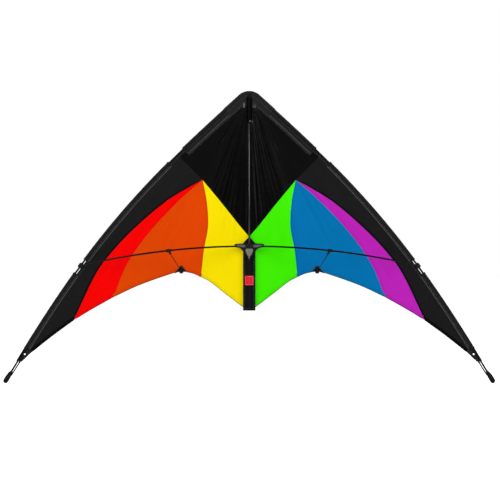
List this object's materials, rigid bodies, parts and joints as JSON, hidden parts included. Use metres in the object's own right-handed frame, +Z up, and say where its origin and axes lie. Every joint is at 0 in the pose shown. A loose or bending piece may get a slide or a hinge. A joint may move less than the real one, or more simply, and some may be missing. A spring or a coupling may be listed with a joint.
{
  "type": "delta kite",
  "caption": "Two-line sport delta kite with a rainbow and black sail on a bowed rod frame, shown rigged and without its lines.",
  "frame": {"origin": "centre of the centre fitting's flat front face, where the cross rods meet the spine", "axes": "+Z up the spine to the nose, +X across the span to the right wing as the flyer sees it, -Y towards the flyer"},
  "size_m": [1.2964, 0.1149, 0.7698],
  "materials": {
    "black_ripstop": "matte",
    "sleeve_cloth": "matte",
    "nose_webbing": "matte",
    "strip_cloth": "matte",
    "red_label": "matte",
    "glass_fibre_rod": "satin",
    "black_vinyl": "satin",
    "moulded_rubber": "matte",
    "brass_ferrule": "satin",
    "steel_eyelet": "satin",
    "elastic_cord": "matte",
    "yellow_ripstop": "satin",
    "orange_ripstop": "satin",
    "red_ripstop": "satin",
    "green_ripstop": "satin",
    "blue_ripstop": "satin",
    "purple_ripstop": "satin"
  },
  "bodies": {
    "centre": {"spine_rod": "glass_fibre_rod", "spine_top_cap": "black_vinyl", "spine_tail_cap": "black_vinyl", "nose_pocket": "nose_webbing", "centre_fitting": "moulded_rubber", "tail_strip": "strip_cloth", "woven_label": "red_label"},
    "left_wing": {"left_top_panel": "black_ripstop", "left_edge_panel": "black_ripstop", "left_nose_flap": "nose_webbing", "left_upper_sleeve": "sleeve_cloth", "left_middle_sleeve": "sleeve_cloth", "left_lower_sleeve": "sleeve_cloth", "left_upper_spar": "glass_fibre_rod", "left_lower_spar": "glass_fibre_rod", "left_spar_ferrule": "brass_ferrule", "left_fitting_arm": "moulded_rubber", "left_edge_connector": "moulded_rubber", "left_foot_patch": "strip_cloth", "left_tip_tab": "nose_webbing", "left_tip_eyelet": "steel_eyelet", "left_tip_bungee": "elastic_cord", "left_yellow_panel": "yellow_ripstop", "left_orange_panel": "orange_ripstop", "left_red_panel": "red_ripstop"},
    "left_spreader": {"left_spreader_rod": "glass_fibre_rod"},
    "left_standoff": {"left_standoff_clip": "moulded_rubber", "left_standoff_rod": "glass_fibre_rod", "left_standoff_foot": "moulded_rubber"},
    "left_cap": {"left_tip_cap": "black_vinyl"},
    "right_wing": {"right_top_panel": "black_ripstop", "right_edge_panel": "black_ripstop", "right_nose_flap": "nose_webbing", "right_upper_sleeve": "sleeve_cloth", "right_middle_sleeve": "sleeve_cloth", "right_lower_sleeve": "sleeve_cloth", "right_upper_spar": "glass_fibre_rod", "right_lower_spar": "glass_fibre_rod", "right_spar_ferrule": "brass_ferrule", "right_fitting_arm": "moulded_rubber", "right_edge_connector": "moulded_rubber", "right_foot_patch": "strip_cloth", "right_tip_tab": "nose_webbing", "right_tip_eyelet": "steel_eyelet", "right_tip_bungee": "elastic_cord", "right_green_panel": "green_ripstop", "right_blue_panel": "blue_ripstop", "right_purple_panel": "purple_ripstop"},
    "right_spreader": {"right_spreader_rod": "glass_fibre_rod"},
    "right_standoff": {"right_standoff_clip": "moulded_rubber", "right_standoff_rod": "glass_fibre_rod", "right_standoff_foot": "moulded_rubber"},
    "right_cap": {"right_tip_cap": "black_vinyl"}
  },
  "joints": [
    {"name": "left_wing_fold", "type": "hinge", "parent": "centre", "child": "left_wing", "pos_m": [0, 0.0125, 0], "axis": [0, 0, -1], "range_deg": [0, 45], "stiffness_Nm_per_rad": 0.4},
    {"name": "left_spreader_slide", "type": "hinge", "parent": "left_wing", "child": "left_spreader", "pos_m": [-0.1557, 0.91855, -0.66021], "axis": [0.0986, -0.5736, -0.8132], "range_deg": [0, 1.19]},
    {"name": "left_standoff_swing", "type": "hinge", "parent": "left_wing", "child": "left_standoff", "pos_m": [-0.212, -0.01062, -0.01166], "axis": [-0.9939, -0.016, -0.1092], "range_deg": [0, 100]},
    {"name": "left_tip_cap_slide", "type": "slide", "parent": "left_wing", "child": "left_cap", "axis": [-0.5225, 0, -0.8526], "range_m": [0, 0.008], "stiffness_N_per_m": 400, "springref_m": -0.002, "deforming": ["left_tip_bungee"]},
    {"name": "right_wing_fold", "type": "hinge", "parent": "centre", "child": "right_wing", "pos_m": [0, 0.0125, 0], "axis": [0, 0, 1], "range_deg": [0, 45], "stiffness_Nm_per_rad": 0.4},
    {"name": "right_spreader_slide", "type": "hinge", "parent": "right_wing", "child": "right_spreader", "pos_m": [0.1557, 0.91855, -0.66021], "axis": [0.0986, 0.5736, 0.8132], "range_deg": [0, 1.19]},
    {"name": "right_standoff_swing", "type": "hinge", "parent": "right_wing", "child": "right_standoff", "pos_m": [0.212, -0.01062, -0.01166], "axis": [-0.9939, 0.016, 0.1092], "range_deg": [0, 100]},
    {"name": "right_tip_cap_slide", "type": "slide", "parent": "right_wing", "child": "right_cap", "axis": [0.5225, 0, -0.8526], "range_m": [0, 0.008], "stiffness_N_per_m": 400, "springref_m": -0.002, "deforming": ["right_tip_bungee"]}
  ]
}
